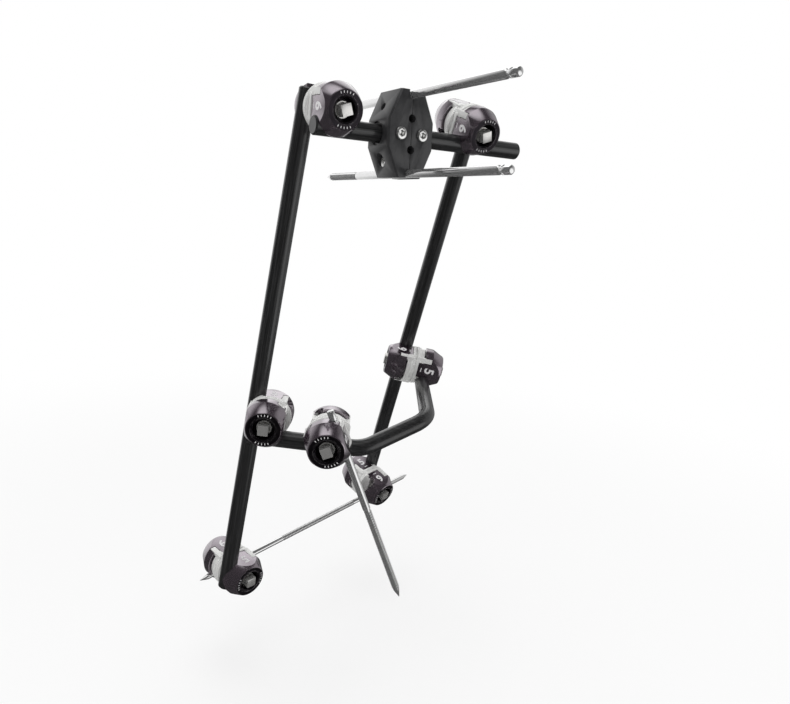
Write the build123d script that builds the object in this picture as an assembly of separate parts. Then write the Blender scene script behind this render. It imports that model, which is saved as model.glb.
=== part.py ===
"""Ankle-spanning external fixator: four rods, seven rod clamps, a pin clamp and four pins.

Millimetres. +X runs along the top rod, +Y points to the back of the leg, +Z points up.
All lines are laid out from the top rod under the seam of the pin clamp, then everything
is moved so that the lower tibial pin enters the bone at the origin.
"""
from build123d import *
import math
import os

os.makedirs("parts", exist_ok=True)

# Rods.
ROD_D = 11.0             # carbon rod
ROD_EDGE = 0.8           # chamfer at each rod end
TOP_ROD_LEN = 154.0
TOP_ROD_LEFT = -58.2     # x of the left end of the top rod
LEFT_ROD_LEN = 339.0
LEFT_ROD_AT = (-56.45, 17.95)     # x, y of its axis at the height of the top rod
LEFT_ROD_LEAN = (-0.1018, 0.1338)  # x, y gained for each millimetre downwards
LEFT_ROD_TOP = 22.3               # z of its upper end
RIGHT_ROD_LEN = 340.0
RIGHT_ROD_AT = (65.71, 19.26)
RIGHT_ROD_LEAN = (0.0129, 0.4003)
RIGHT_ROD_TOP = 25.5
# corner points of the bent rod's axis: left end, two bends, right end
BENT_ROD = ((-84.6, 27.5, -189.4), (-21.1, -8.8, -196.3), (32.1, -5.6, -183.4), (82.9, 78.6, -175.4))
BEND_R = 22.0            # axis radius of both bends

# Pins.
PIN_D = 5.0              # half pins
WIRE_D = 4.0             # through-heel pin
PIN_Z = 22.7             # tibial pins above and below the top rod
PIN_LEN = 200.0
PIN_NEAR_Y = -105.0      # outer end of the tibial pins
BONE_Y = 57.0            # where the tibial pins enter the bone
HEEL_PIN_AT = (-88.07, 78.28, -310.57)
HEEL_PIN_DIR = (1.0, 0.2432, 0.1182)
HEEL_PIN_LEN = 218.0
HEEL_PIN_LEFT = -14.6    # its left tip, measured from HEEL_PIN_AT
FOOT_PIN_AT = (-41.33, -18.85, -186.32)
FOOT_PIN_DIR = (0.3519, -0.0913, -0.9316)
FOOT_PIN_LEN = 141.0
FOOT_PIN_ABOVE = 23.0    # its upper end, measured from FOOT_PIN_AT
THREAD_CUT = 0.5         # how much thinner the threaded end of a half pin is
TIBIAL_THREAD = 40.0
FOOT_THREAD = 64.0
TIP_LEN = 6.0
HEAD_LEN = 9.0           # driving end of a half pin
HEAD_FLAT = 6.0
NECK_D = 3.6
WIRE_THREAD_D = 4.4      # raised thread in the middle of the heel pin
WIRE_THREAD = (58.0, 135.0)       # its ends, measured from HEEL_PIN_AT

# Rod clamps.
HALF_LEN = 22.3          # centre plane to outer face
ROD_OFF = 10.1           # bolt axis to rod axis
PIN_OFF = 8.2            # bolt axis to pin axis
CAP_D = 30.6
FACE_D = 21.4
FACE_EDGE = 0.6
SKIRT_Z = 7.6            # lower edge of the cap skirt
SHOULDER_Z = 13.4        # where the skirt turns into the cone
FLAT_X = 12.0            # flats on both sides of the cap
CAP_WALL = 2.6
TAB_W = 11.4             # side tabs of the cap
TAB_Z = 3.0              # lower edge of the side tabs
BORE_D = 13.4
BORE_Z = 15.6            # floor of the drive bore
ROOF = 3.2               # cap thickness above its hollow, down from the shoulder
JAW_D = 29.6
JAW_FLAT_X = 12.6        # flats on both sides of the jaw
JAW_BASE_Z = 0.12
JAW_Z = 6.3              # top of the jaw
JAW_STEP_D = 27.0
JAW_STEP_Z = 3.4
POST_SIZE = (3.0, 3.6)   # upright posts of the jaw, across and along the groove
POST_AT = (10.4, 8.2)
POST_Z = 12.6
POST_GAP = 0.3           # room around posts and tabs
STUD_D = 6.0
STUD_HALF = 18.0
FIT = 0.05               # radial running clearance
SEAT = 0.03              # axial running clearance
SPRING_D = (6.5, 8.5)    # inner and outer diameter of the opening spring
NUT_D = 9.2
NUT_FLANGE = 1.8
DRIVE_AF = 6.8           # across flats of the square drive
DRIVE_Z = 24.4           # top of the square drive

# Tibial pin clamp.
BLOCK_FRONT = -14.0
BLOCK_BACK = 9.5
BLOCK_HALF_W = 16.0
BLOCK_TIP_W = 8.4        # half width at the top and bottom
BLOCK_SHOULDER = 8.0     # half height of the upright sides
BLOCK_HALF_H = 25.2
SEAM = 0.4               # gap between the two halves
SPARE_HOLE_Z = 9.0       # unused pin holes
SPARE_HOLE_D = 5.0
CROSS_Z = 15.4           # cross bolts
CROSS_Y = -1.0
CROSS_D = 4.4
CROSS_HEAD_D = 8.0
CROSS_HEAD_H = 4.6
CROSS_SEAT = 6.4         # x of the seat under each cross bolt head
CROSS_LEN = 22.0
SET_X = 7.5              # rod screws
SET_D = 6.2
SET_PROUD = 0.4          # how far the rod screws stand out of the front
SET_SEAT = 9.2           # depth of their holes
HEX_AF = 3.2             # across flats of the hex sockets
HEX_DEPTH = 2.2
ENTRY_D = 14.0           # shallow recess around each rod entry
ENTRY_DEPTH = 1.2

REACH = 4 * BLOCK_HALF_H  # length of the tools that cut right through
ORIGIN = Vector(0, BONE_Y, -PIN_Z)


def unit(v):
    """Unit vector along v."""
    return v * (1.0 / v.length)


def save(name, *solids):
    """Move the solids of one node to the shared origin and write them."""
    moved = [s.moved(Location(ORIGIN * -1)) for s in solids]
    shape = moved[0] if len(moved) == 1 else Compound(children=moved)
    export_step(shape, "parts/" + name + ".step")


def cyl(start, direction, length, diameter, edge=0.0):
    """Round bar from start along direction, with both ends chamfered."""
    r = diameter / 2
    e = edge
    pts = [(0, 0), (r - e, 0), (r, e), (r, length - e), (r - e, length), (0, length)]
    if e == 0:
        pts = [(0, 0), (r, 0), (r, length), (0, length)]
    flat = Plane.XZ * Polyline(*pts, close=True)
    bar = revolve(make_face(flat), Axis.Z)
    return Plane(origin=start, z_dir=direction) * bar


def tool(start, direction, length, diameter):
    """Plain cutting cylinder centred on start."""
    return Plane(origin=start, z_dir=direction) * Cylinder(diameter / 2, length)


def ring_of(points):
    """Solid of revolution about +Z from (radius, z) points."""
    return revolve(make_face(Plane.XZ * Polyline(*points, close=True)), Axis.Z)


def one(shape):
    """The largest solid of a shape."""
    return max(shape.solids(), key=lambda s: s.volume)


# Lines of the frame.
def down(at, lean, z):
    """Point at height z on a leaning rod."""
    return Vector(at[0] - lean[0] * z, at[1] - lean[1] * z, z)


LEFT_DIR = unit(Vector(LEFT_ROD_LEAN[0], LEFT_ROD_LEAN[1], -1))
RIGHT_DIR = unit(Vector(RIGHT_ROD_LEAN[0], RIGHT_ROD_LEAN[1], -1))
BENT = [Vector(*p) for p in BENT_ROD]
LINES = {
    "top": (Vector(0, 0, 0), Vector(1, 0, 0)),
    "left": (down(LEFT_ROD_AT, LEFT_ROD_LEAN, 0), LEFT_DIR),
    "right": (down(RIGHT_ROD_AT, RIGHT_ROD_LEAN, 0), RIGHT_DIR),
    "bent_left": (BENT[0], unit(BENT[1] - BENT[0])),
    "bent_right": (BENT[3], unit(BENT[2] - BENT[3])),
    "heel": (Vector(*HEEL_PIN_AT), unit(Vector(*HEEL_PIN_DIR))),
    "foot": (Vector(*FOOT_PIN_AT), unit(Vector(*FOOT_PIN_DIR))),
}
GRIP_D = {"heel": WIRE_D, "foot": PIN_D}


def common_normal(near, far):
    """Nearest points of two lines and the unit normal from far to near."""
    p, d = LINES[near]
    q, e = LINES[far]
    n = unit(d.cross(e))
    gap = (p - q).dot(n)
    if gap < 0:
        n, gap = n * -1, -gap
    k = d.dot(e)
    w = q - p
    s = (w.dot(d) - k * w.dot(e)) / (1 - k * k)
    foot_near = p + d * s
    return foot_near, foot_near - n * gap, n, gap


class Clamp:
    """Bolt axis and two half frames of a clamp that joins two lines."""

    def __init__(self, name, near, far, side_near, side_far):
        self.name, self.near, self.far = name, near, far
        a, b, n, gap = common_normal(near, far)
        d, e = LINES[near][1], LINES[far][1]
        u, v = n.cross(d) * side_near, n.cross(e) * side_far
        k = u.dot(v)
        off_a, off_b = self.offset(near), self.offset(far)
        s = (off_a - k * off_b) / (1 - k * k)
        t = (off_b - k * off_a) / (1 - k * k)
        self.centre = (a + b) * 0.5 + u * s + v * t
        self.axis, self.gap = n, gap
        self.half = {"near": self.frame(near, u, n), "far": self.frame(far, v, n * -1)}

    @staticmethod
    def offset(line):
        """Distance from the bolt axis to the gripped line."""
        return PIN_OFF if line in GRIP_D else ROD_OFF

    def frame(self, line, to_bolt, out):
        """Local frame of one half: +Z outwards, the rod at -Y or the pin at +X."""
        x_dir = to_bolt * -1 if line in GRIP_D else to_bolt.cross(out)
        return Plane(origin=self.centre, x_dir=x_dir, z_dir=out)


CLAMPS = [
    Clamp("top_left", "top", "left", 1, 1),
    Clamp("top_right", "top", "right", 1, -1),
    Clamp("mid_left", "bent_left", "left", 1, 1),
    Clamp("foot", "foot", "bent_left", -1, 1),
    Clamp("mid_right", "right", "bent_right", 1, 1),
    Clamp("heel_left", "left", "heel", 1, 1),
    Clamp("heel_right", "heel", "right", 1, -1),
]


# Pieces of a clamp half, in its local frame.
def grooves(grip_z, pin_d):
    """The rod groove at -Y, the gripped pin groove at +X and the spare one at -X."""
    rod = tool(Vector(0, -ROD_OFF, grip_z), Vector(1, 0, 0), 2 * CAP_D, ROD_D + 2 * FIT)
    pin = tool(Vector(PIN_OFF, 0, grip_z), Vector(0, 1, 0), 2 * CAP_D, pin_d + 2 * FIT)
    return rod, pin


def make_cap(grip_z, pin_d):
    """Domed outer jaw with flats, side tabs, post notches, drive bore and grooves."""
    r, roof_z = CAP_D / 2, SHOULDER_Z - ROOF
    cap = ring_of([(0, SKIRT_Z), (r, SKIRT_Z), (r, SHOULDER_Z), (FACE_D / 2 + FACE_EDGE, HALF_LEN - FACE_EDGE),
                   (FACE_D / 2, HALF_LEN), (0, HALF_LEN)])
    cap -= Pos(0, 0, SKIRT_Z) * Cylinder(r - CAP_WALL, 2 * (roof_z - SKIRT_Z))
    across, along = POST_SIZE
    for side in (-1, 1):
        cap += Pos(side * (FLAT_X - CAP_WALL / 2), 0, (TAB_Z + roof_z) / 2 + 0.5) * Box(
            CAP_WALL, TAB_W, roof_z - TAB_Z + 1.0)
        cap -= Pos(side * (FLAT_X + r / 2), 0, HALF_LEN / 2) * Box(r, CAP_D, 2 * HALF_LEN)
        inner = POST_AT[0] - across / 2 - POST_GAP
        cap -= Pos(side * (inner + r / 2), POST_AT[1], SKIRT_Z) * Box(
            r, along + 2 * POST_GAP, 2 * (POST_Z + POST_GAP - SKIRT_Z))
    cap -= Cylinder(STUD_D / 2 + FIT, 4 * HALF_LEN)
    cap -= Pos(0, 0, BORE_Z + HALF_LEN / 2) * Cylinder(BORE_D / 2, HALF_LEN)
    rod, pin = grooves(grip_z, pin_d)
    return one(cap - rod - pin)


def make_jaw(grip_z, pin_d):
    """Stepped inner jaw with flats, two posts, slots for the cap tabs and grooves."""
    r, s = JAW_D / 2, JAW_STEP_D / 2
    jaw = ring_of([(0, JAW_BASE_Z), (r, JAW_BASE_Z), (r, JAW_STEP_Z), (s, JAW_STEP_Z), (s, JAW_Z), (0, JAW_Z)])
    across, along = POST_SIZE
    for side in (-1, 1):
        jaw -= Pos(side * (JAW_FLAT_X + r / 2), 0, 0) * Box(r, JAW_D, 2 * HALF_LEN)
        jaw += Pos(side * POST_AT[0], POST_AT[1], (JAW_BASE_Z + POST_Z) / 2) * Box(
            across, along, POST_Z - JAW_BASE_Z)
        jaw -= Pos(side * (FLAT_X - CAP_WALL - POST_GAP + r / 2), 0, TAB_Z - POST_GAP + HALF_LEN / 2) * Box(
            r, TAB_W + 2 * POST_GAP, HALF_LEN)
    jaw -= Cylinder(STUD_D / 2 + FIT, 4 * HALF_LEN)
    rod, pin = grooves(grip_z, pin_d)
    return one(jaw - rod - pin)


def make_nut():
    """Round flange with a square drive, hollow over the stud."""
    top = BORE_Z + SEAT + NUT_FLANGE
    nut = ring_of([(0, BORE_Z + SEAT), (NUT_D / 2, BORE_Z + SEAT), (NUT_D / 2, top - 0.5),
                   (NUT_D / 2 - 0.5, top), (0, top)])
    nut += Pos(0, 0, (top + DRIVE_Z) / 2) * Box(DRIVE_AF, DRIVE_AF, DRIVE_Z - top)
    return one(nut - Cylinder(STUD_D / 2 + FIT, 2 * (STUD_HALF + SEAT)))


def make_spring():
    """Envelope of the coil spring that opens the clamp, around the stud between jaw and cap."""
    inner, outer = SPRING_D
    low, high = JAW_Z + SEAT, SHOULDER_Z - ROOF - SEAT
    return Pos(0, 0, (low + high) / 2) * (Cylinder(outer / 2, high - low) - Cylinder(inner / 2, high - low))


studs, springs = {}, {}
for clamp in CLAMPS:
    for side in ("near", "far"):
        grip = getattr(clamp, side)
        grip_z = clamp.gap / 2
        pin_d = GRIP_D.get(grip, PIN_D)
        frame = clamp.half[side]
        stem = clamp.name + "_" + side
        save(stem + "_cap", frame * make_cap(grip_z, pin_d))
        save(stem + "_jaw", frame * make_jaw(grip_z, pin_d))
        save(stem + "_nut", frame * make_nut())
        springs.setdefault(clamp.name, []).append(one(frame * make_spring()))
    studs[clamp.name] = cyl(clamp.centre - clamp.axis * STUD_HALF, clamp.axis, 2 * STUD_HALF, STUD_D, 0.6)
save("foot_stud", studs.pop("foot"))
save("frame_studs", *studs.values())
save("foot_springs", *springs.pop("foot"))
save("frame_springs", *[spring for pair in springs.values() for spring in pair])


# Rods.
def rod_between(start, direction, length):
    """Straight carbon rod."""
    return cyl(start, direction, length, ROD_D, ROD_EDGE)


save("top_rod", rod_between(Vector(TOP_ROD_LEFT, 0, 0), Vector(1, 0, 0), TOP_ROD_LEN))
save("left_rod", rod_between(down(LEFT_ROD_AT, LEFT_ROD_LEAN, LEFT_ROD_TOP), LEFT_DIR, LEFT_ROD_LEN))
save("right_rod", rod_between(down(RIGHT_ROD_AT, RIGHT_ROD_LEAN, RIGHT_ROD_TOP), RIGHT_DIR, RIGHT_ROD_LEN))

path = FilletPolyline(*BENT, radius=BEND_R)
start_plane = Plane(origin=BENT[0], z_dir=BENT[1] - BENT[0])
save("bent_rod", one(sweep(start_plane * Circle(ROD_D / 2), path=path)))


# Pins.
def half_pin(length, diameter, thread):
    """Half pin along +Z: driving end with a neck and three flats at z = 0, trocar tip at the end."""
    r = diameter / 2
    root = r - THREAD_CUT / 2
    end = length - TIP_LEN
    pin = ring_of([(0, 0), (r - 1.0, 0), (r, 1.0), (r, HEAD_LEN - 2.6), (NECK_D / 2, HEAD_LEN - 1.8),
                   (NECK_D / 2, HEAD_LEN - 0.4), (r, HEAD_LEN + 0.4), (r, end - thread),
                   (root, end - thread), (root, end), (0.3, length), (0, length)])
    for k in range(3):
        pin -= Rot(0, 0, 120 * k) * Pos(r - 0.4 + 5, 0, HEAD_FLAT / 2 - 0.5) * Box(10, 10, HEAD_FLAT)
    return one(pin)


for level, z in (("upper", PIN_Z), ("lower", -PIN_Z)):
    at = Plane(origin=(0, PIN_NEAR_Y, z), z_dir=(0, 1, 0))
    save("tibial_pin_" + level, at * half_pin(PIN_LEN, PIN_D, TIBIAL_THREAD))

foot_dir = LINES["foot"][1]
foot_top = LINES["foot"][0] - foot_dir * FOOT_PIN_ABOVE
save("foot_pin", Plane(origin=foot_top, z_dir=foot_dir) * half_pin(FOOT_PIN_LEN, PIN_D, FOOT_THREAD))

heel_at, heel_dir = LINES["heel"]
wire_r, thread_r = WIRE_D / 2, WIRE_THREAD_D / 2
first, last = (q - HEEL_PIN_LEFT for q in WIRE_THREAD)
heel = ring_of([(0, 0), (0.2, 0), (wire_r, TIP_LEN), (wire_r, first), (thread_r, first), (thread_r, last),
                (wire_r, last), (wire_r, HEEL_PIN_LEN - TIP_LEN), (0.2, HEEL_PIN_LEN), (0, HEEL_PIN_LEN)])
save("heel_pin", Plane(origin=heel_at + heel_dir * HEEL_PIN_LEFT, z_dir=heel_dir) * heel)

# Tibial pin clamp.
DEPTH = BLOCK_BACK - BLOCK_FRONT
outline = Plane.XZ * Polyline(
    (SEAM / 2, BLOCK_HALF_H), (BLOCK_TIP_W, BLOCK_HALF_H), (BLOCK_HALF_W, BLOCK_SHOULDER),
    (BLOCK_HALF_W, -BLOCK_SHOULDER), (BLOCK_TIP_W, -BLOCK_HALF_H), (SEAM / 2, -BLOCK_HALF_H), close=True)
right_block = Pos(0, BLOCK_BACK, 0) * extrude(make_face(outline), amount=DEPTH, dir=(0, -1, 0))
right_block = chamfer(right_block.faces().sort_by(Axis.Y)[0].edges().filter_by(
    lambda e: e.center().X > SEAM), 1.2)
ALONG_X, ALONG_Y = Vector(1, 0, 0), Vector(0, 1, 0)


def hex_socket(at, direction, depth):
    """Hexagonal recess cut into a screw head from at, going along direction."""
    hexagon = extrude(RegularPolygon(HEX_AF / 2, 6, major_radius=False), amount=depth)
    return Plane(origin=at, z_dir=direction) * hexagon


def drill_block(block):
    """Rod bore, pin grooves, screw seats and entry recesses of one half."""
    block -= tool(Vector(0, 0, 0), ALONG_X, REACH, ROD_D + 2 * FIT)
    for z in (PIN_Z, -PIN_Z):
        across = PIN_D + 2 * FIT
        block -= tool(Vector(0, 0, z), ALONG_Y, REACH, across)
        block -= Pos(0, 0, z + math.copysign(PIN_D, z)) * Box(across, REACH, 2 * PIN_D)
    for z in (SPARE_HOLE_Z, -SPARE_HOLE_Z):
        block -= tool(Vector(0, 0, z), ALONG_Y, REACH, SPARE_HOLE_D)
    for side in (-1, 1):
        block -= tool(Vector(side * BLOCK_HALF_W, 0, 0), ALONG_X, 2 * ENTRY_DEPTH, ENTRY_D)
        block -= tool(Vector(side * SET_X, BLOCK_FRONT, 0), ALONG_Y, 2 * SET_SEAT, SET_D + 2 * FIT)
    for z, side in ((CROSS_Z, 1), (-CROSS_Z, -1)):
        block -= tool(Vector(0, CROSS_Y, z), ALONG_X, REACH, CROSS_D + 2 * FIT)
        seat = Vector(side * (CROSS_SEAT + BLOCK_HALF_W / 2), CROSS_Y, z)
        block -= tool(seat, ALONG_X, BLOCK_HALF_W, CROSS_HEAD_D + 2 * FIT)
    return one(block)


save("tibial_clamp_right", drill_block(right_block))
save("tibial_clamp_left", drill_block(mirror(right_block, Plane.YZ)))

for level, z, side in (("upper", CROSS_Z, 1), ("lower", -CROSS_Z, -1)):
    inward = Vector(-side, 0, 0)
    head_x = side * (CROSS_SEAT + CROSS_HEAD_H)
    head = cyl(Vector(head_x, CROSS_Y, z), inward, CROSS_HEAD_H - SEAT, CROSS_HEAD_D, 0.4)
    shank = cyl(Vector(head_x, CROSS_Y, z), inward, CROSS_LEN, CROSS_D, 0.3)
    bolt = head + shank - hex_socket(Vector(head_x, CROSS_Y, z), inward, HEX_DEPTH)
    save("cross_bolt_" + level, one(bolt))

for label, x in (("left", -SET_X), ("right", SET_X)):
    front = Vector(x, BLOCK_FRONT - SET_PROUD, 0)
    screw = cyl(front, ALONG_Y, -ROD_D / 2 - FIT - front.Y, SET_D, 0.4)
    save("rod_screw_" + label, one(screw - hex_socket(front, ALONG_Y, HEX_DEPTH)))

for clamp in CLAMPS:
    c = clamp.centre
    print(clamp.name, [round(q, 1) for q in (c.X, c.Y, c.Z)], round(clamp.gap, 2))
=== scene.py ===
"""Studio scene of an ankle-spanning external fixator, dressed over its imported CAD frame."""
from __future__ import annotations

import logging
import math
from dataclasses import dataclass
from enum import Enum
from typing import Callable, Sequence, Union

import bpy
from mathutils import Matrix, Vector


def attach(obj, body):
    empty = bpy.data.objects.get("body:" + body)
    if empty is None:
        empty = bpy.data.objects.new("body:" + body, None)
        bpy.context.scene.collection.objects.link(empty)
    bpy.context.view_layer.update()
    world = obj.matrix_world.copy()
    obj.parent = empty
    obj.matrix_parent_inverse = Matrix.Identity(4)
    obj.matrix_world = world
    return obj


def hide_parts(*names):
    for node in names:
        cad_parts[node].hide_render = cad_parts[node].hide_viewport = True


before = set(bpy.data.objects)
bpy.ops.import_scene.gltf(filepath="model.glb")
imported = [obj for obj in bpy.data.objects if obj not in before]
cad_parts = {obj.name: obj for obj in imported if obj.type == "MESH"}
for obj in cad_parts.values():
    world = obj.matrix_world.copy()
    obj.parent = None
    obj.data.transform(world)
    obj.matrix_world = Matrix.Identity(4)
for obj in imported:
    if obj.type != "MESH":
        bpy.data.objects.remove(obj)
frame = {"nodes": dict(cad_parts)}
LOG = logging.getLogger("fixator")
MM = 0.001
Point = tuple[float, float, float]
Profile = Sequence[tuple[float, float]]


class Blend(Enum):
    """How a second mesh changes the first."""

    ADD = "UNION"
    CUT = "DIFFERENCE"


class Side(Enum):
    """The two halves of a rod clamp."""

    NEAR = "near"
    FAR = "far"


class Slot(Enum):
    """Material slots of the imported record."""

    CAP = "cap"
    JAW = "jaw"
    DRIVE = "drive"
    PIN = "pin_steel"
    BLOCK = "block"
    SCREW = "screw"


class Bench:
    """Models one mesh at a time with Blender's own operators. Sizes come in millimetres."""

    @staticmethod
    def clear() -> None:
        """Leave edit mode and deselect everything."""
        if bpy.context.object and bpy.context.object.mode != "OBJECT":
            bpy.ops.object.mode_set(mode="OBJECT")
        bpy.ops.object.select_all(action="DESELECT")

    @classmethod
    def pick(cls, obj: bpy.types.Object) -> None:
        """Make obj the only selected and the active object.

        Args:
            obj: The object.
        """
        cls.clear()
        obj.select_set(True)
        bpy.context.view_layer.objects.active = obj

    @classmethod
    def edit(cls, obj: bpy.types.Object, test: Callable[[Vector], bool] = lambda co: True) -> None:
        """Enter edit mode with the vertices selected that pass a test.

        Args:
            obj: The mesh.
            test: Takes a vertex's place in millimetres.
        """
        cls.pick(obj)
        bpy.ops.object.mode_set(mode="EDIT")
        bpy.ops.mesh.select_mode(type="VERT")
        bpy.ops.mesh.select_all(action="DESELECT")
        bpy.ops.object.mode_set(mode="OBJECT")
        for vert in obj.data.vertices:
            vert.select = test(vert.co / MM)
        bpy.ops.object.mode_set(mode="EDIT")

    @classmethod
    def close(cls) -> None:
        """Merge doubles, turn the faces outwards and leave edit mode."""
        bpy.ops.mesh.select_all(action="SELECT")
        bpy.ops.mesh.remove_doubles(threshold=1e-6)
        bpy.ops.mesh.normals_make_consistent(inside=False)
        bpy.ops.object.mode_set(mode="OBJECT")

    @classmethod
    def lathe(cls, name: str, profile: Profile, steps: int, closed: bool = False) -> bpy.types.Object:
        """Turn a profile about +Z by extruding and scaling a ring.

        Args:
            name: Name of the new object.
            profile: (radius, z) points of the wall, each radius above zero.
            steps: Vertices round the ring.
            closed: True joins the last ring to the first, False caps both ends.

        Returns:
            The turned object.
        """
        cls.clear()
        (r, z), rest = profile[0], list(profile[1:])
        bpy.ops.mesh.primitive_circle_add(vertices=steps, radius=r * MM, location=(0, 0, z * MM),
                                          fill_type="NOTHING" if closed else "NGON")
        obj = bpy.context.object
        obj.name = name
        bpy.ops.object.transform_apply(location=True, rotation=True, scale=True)
        bpy.ops.object.mode_set(mode="EDIT")
        bpy.ops.mesh.select_all(action="SELECT")
        for new_r, new_z in rest + ([profile[0]] if closed else []):
            bpy.ops.mesh.extrude_region_move(TRANSFORM_OT_translate={"value": (0, 0, (new_z - z) * MM)})
            if abs(new_r - r) > 1e-9:
                k = new_r / r
                bpy.ops.transform.resize(value=(k, k, 1), center_override=(0, 0, new_z * MM))
            r, z = new_r, new_z
        cls.close()
        return obj

    @classmethod
    def block(cls, name: str, centre: Point, size: Point) -> bpy.types.Object:
        """Box with its centre and full size.

        Args:
            name: Name of the new object.
            centre: Centre in millimetres.
            size: Full size in millimetres.

        Returns:
            The box.
        """
        cls.clear()
        bpy.ops.mesh.primitive_cube_add(size=1, location=[c * MM for c in centre],
                                        scale=[s * MM for s in size])
        obj = bpy.context.object
        obj.name = name
        bpy.ops.object.transform_apply(location=True, rotation=True, scale=True)
        return obj

    @classmethod
    def rod(cls, name: str, centre: Point, axis: Point, length: float, radius: float,
            steps: int = 64) -> bpy.types.Object:
        """Plain cylinder along any axis, as a tool for holes and grooves.

        Args:
            name: Name of the new object.
            centre: Centre in millimetres.
            axis: Direction of the cylinder.
            length: Full length in millimetres.
            radius: Radius in millimetres.
            steps: Vertices round it.

        Returns:
            The cylinder.
        """
        cls.clear()
        turn = Vector((0, 0, 1)).rotation_difference(Vector(axis)).to_euler()
        bpy.ops.mesh.primitive_cylinder_add(vertices=steps, radius=radius * MM, depth=length * MM,
                                            location=[c * MM for c in centre], rotation=turn)
        obj = bpy.context.object
        obj.name = name
        bpy.ops.object.transform_apply(location=True, rotation=True, scale=True)
        return obj

    @classmethod
    def slice(cls, obj: bpy.types.Object, at: Point, normal: Point) -> None:
        """Cut away what lies beyond a plane and close the cut.

        Args:
            obj: The mesh.
            at: A point of the plane, in millimetres.
            normal: Direction of the side that goes.
        """
        cls.pick(obj)
        bpy.ops.object.mode_set(mode="EDIT")
        bpy.ops.mesh.select_all(action="SELECT")
        bpy.ops.mesh.bisect(plane_co=[c * MM for c in at], plane_no=Vector(normal).normalized(),
                            use_fill=True, clear_outer=True, threshold=1e-7)
        cls.close()

    @classmethod
    def combine(cls, obj: bpy.types.Object, other: bpy.types.Object, how: Blend) -> None:
        """Boolean with another mesh, which is used up.

        Args:
            obj: The mesh that is kept.
            other: The tool.
            how: Whether the tool is added or cut away.
        """
        cls.pick(obj)
        mod = obj.modifiers.new("boolean", "BOOLEAN")
        mod.operation, mod.object, mod.solver = how.value, other, "EXACT"
        bpy.ops.object.modifier_apply(modifier=mod.name)
        bpy.data.objects.remove(other, do_unlink=True)

    @classmethod
    def coil(cls, obj: bpy.types.Object, pitch: float, turns: int, steps: int) -> None:
        """Sweep a closed outline along a helix about +Z and close its two ends.

        Args:
            obj: The outline, standing in the XZ plane.
            pitch: Rise of one turn in millimetres.
            turns: Number of turns.
            steps: Steps of one turn.
        """
        cls.pick(obj)
        mod = obj.modifiers.new("helix", "SCREW")
        mod.axis, mod.iterations, mod.steps, mod.render_steps = "Z", turns, steps, steps
        mod.screw_offset = pitch * MM
        bpy.ops.object.modifier_apply(modifier=mod.name)
        bpy.ops.object.mode_set(mode="EDIT")
        bpy.ops.mesh.select_all(action="SELECT")
        bpy.ops.mesh.remove_doubles(threshold=1e-7)
        bpy.ops.mesh.select_all(action="DESELECT")
        bpy.ops.mesh.select_non_manifold()
        bpy.ops.mesh.edge_face_add()
        cls.close()

    @classmethod
    def soften(cls, obj: bpy.types.Object, width: float, angle: float = 32.0, segments: int = 2,
               smooth: float = 38.0, slot: int = -1) -> None:
        """Round the sharp edges and smooth the faces between them.

        Args:
            obj: The mesh.
            width: Bevel width in millimetres.
            angle: Edges sharper than this are rounded, in degrees.
            segments: Steps of each rounding.
            smooth: Faces that meet at less than this are shaded as one, in degrees.
            slot: Material slot of the rounded edges, or -1 for that of their neighbours.
        """
        cls.edit(obj)
        bpy.ops.mesh.remove_doubles(threshold=2e-6)
        bpy.ops.mesh.dissolve_limited(angle_limit=math.radians(0.5))
        bpy.ops.object.mode_set(mode="OBJECT")
        mod = obj.modifiers.new("edge", "BEVEL")
        mod.limit_method, mod.angle_limit = "ANGLE", math.radians(angle)
        mod.width, mod.segments, mod.harden_normals, mod.material = width * MM, segments, False, slot
        bpy.ops.object.modifier_apply(modifier=mod.name)
        bpy.ops.object.shade_smooth_by_angle(angle=math.radians(smooth))

    @classmethod
    def merge(cls, name: str, parts: Sequence[bpy.types.Object]) -> bpy.types.Object:
        """Join several meshes into one object.

        Args:
            name: Name of the result.
            parts: The meshes, used up.

        Returns:
            The joined object.
        """
        cls.clear()
        for part in parts:
            part.select_set(True)
        bpy.context.view_layer.objects.active = parts[0]
        bpy.ops.object.join()
        parts[0].name = name
        return parts[0]

    @classmethod
    def copy(cls, obj: bpy.types.Object, name: str) -> bpy.types.Object:
        """Copy an object with its own mesh.

        Args:
            obj: The object.
            name: Name of the copy.

        Returns:
            The copy.
        """
        new = obj.copy()
        new.data = obj.data.copy()
        new.name = name
        bpy.context.collection.objects.link(new)
        return new

    @classmethod
    def place(cls, obj: bpy.types.Object, matrix: Matrix) -> None:
        """Move a piece to its place and put that place in its mesh.

        Args:
            obj: The piece, at the origin.
            matrix: Its world matrix.
        """
        cls.pick(obj)
        obj.matrix_world = matrix
        bpy.ops.object.transform_apply(location=True, rotation=True, scale=True)

    @classmethod
    def paint_faces(cls, obj: bpy.types.Object, slot: int, test: Callable[[Vector], bool]) -> None:
        """Give a material slot to the faces of slot 0 whose centre passes a test.

        Args:
            obj: The mesh.
            slot: Index of the material slot.
            test: Takes a face centre in millimetres.
        """
        for poly in obj.data.polygons:
            if poly.material_index == 0 and test(poly.center / MM):
                poly.material_index = slot

    @classmethod
    def dress(cls, obj: bpy.types.Object, *materials: bpy.types.Material) -> None:
        """Give a mesh its material slots.

        Args:
            obj: The mesh.
            materials: One material for each slot.
        """
        obj.data.materials.clear()
        for material in materials:
            obj.data.materials.append(material)

    @classmethod
    def finish(cls, obj: bpy.types.Object, body: str, slot: Slot, *nodes: str) -> None:
        """Let a piece ride on its body and stand for CAD nodes.

        Args:
            obj: The finished piece.
            body: The body that it rides on.
            slot: Its material slot in the record; not used.
            nodes: CAD nodes that it replaces.
        """
        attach(obj, body)
        if nodes:
            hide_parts(*nodes)
        LOG.info("piece %s on %s", obj.name, body)


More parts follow.
